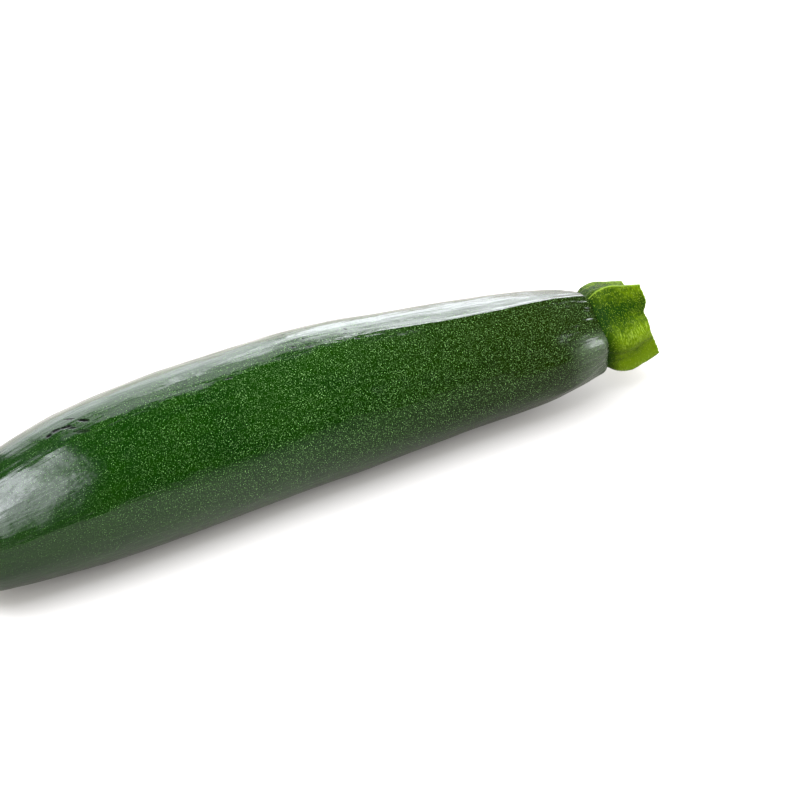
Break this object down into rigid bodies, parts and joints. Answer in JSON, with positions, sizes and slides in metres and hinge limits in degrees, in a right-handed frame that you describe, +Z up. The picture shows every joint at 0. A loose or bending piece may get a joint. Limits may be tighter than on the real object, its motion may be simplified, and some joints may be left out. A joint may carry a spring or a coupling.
{
  "type": "courgette",
  "caption": "Whole courgette as picked, lying down: a gently bowed dark green fruit with a pale ridged stub of stalk.",
  "frame": {"origin": "on the surface it rests on, under the middle of the overall box", "axes": "+X along the courgette from the blossom end to the stalk, +Z up as it lies, with the hollow of its bow towards -Y"},
  "size_m": [0.2199, 0.0464, 0.0435],
  "materials": {
    "rind": "waxy dark green skin, finely flecked, satin gloss",
    "stalk": "yellow-green ridged stalk, short hairs, knife-cut end"
  },
  "bodies": {
    "root": {"fruit": "rind", "stalk": "stalk"}
  },
  "joints": []
}
